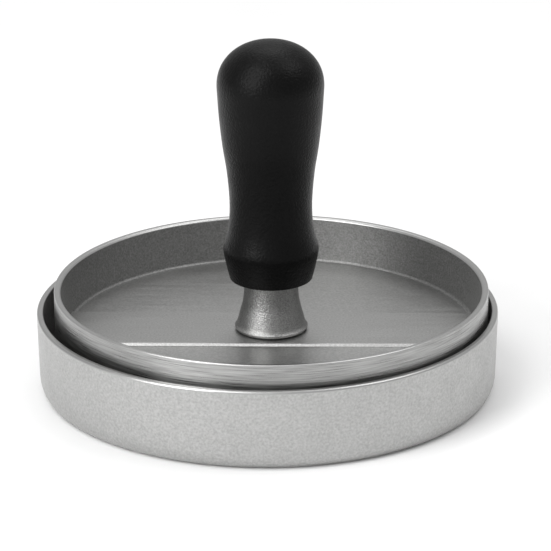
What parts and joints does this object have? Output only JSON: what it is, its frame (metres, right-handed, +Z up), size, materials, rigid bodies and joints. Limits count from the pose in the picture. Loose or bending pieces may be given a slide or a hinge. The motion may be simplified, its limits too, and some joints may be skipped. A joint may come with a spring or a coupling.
{
  "type": "patty press",
  "caption": "Round hand press for burger patties: a cup-shaped plate on a club-shaped grip drops into a low round tray.",
  "frame": {"origin": "centre of the tray's footprint, on the surface that the tray rests on", "axes": "+Z up along the tray's axis and the press's travel; +X along the bridge across the press plate, towards the side where the seated plate lies closest to the tray's wall; +Y away from the viewer"},
  "size_m": [0.12, 0.12, 0.0934],
  "materials": {
    "tray_casting": "cast, bead-blasted to a fine satin grain",
    "plate_turned": "cast, with turned outside wall and milled floor",
    "pedestal_casting": "as cast, fine pebbled skin",
    "grip_moulding": "black moulded phenolic, fine orange-peel grain",
    "insert_brass": "turned and knurled",
    "screw_stainless": "cold-headed stainless, bright"
  },
  "bodies": {
    "tray": {"tray": "tray_casting"},
    "press": {"press_plate": "plate_turned", "pedestal": "pedestal_casting", "grip": "grip_moulding", "grip_insert": "insert_brass", "clamp_screw": "screw_stainless"}
  },
  "joints": [
    {"name": "press_lift", "type": "slide", "parent": "tray", "child": "press", "axis": [0, 0, 1], "range_m": [0, 0.06]}
  ]
}
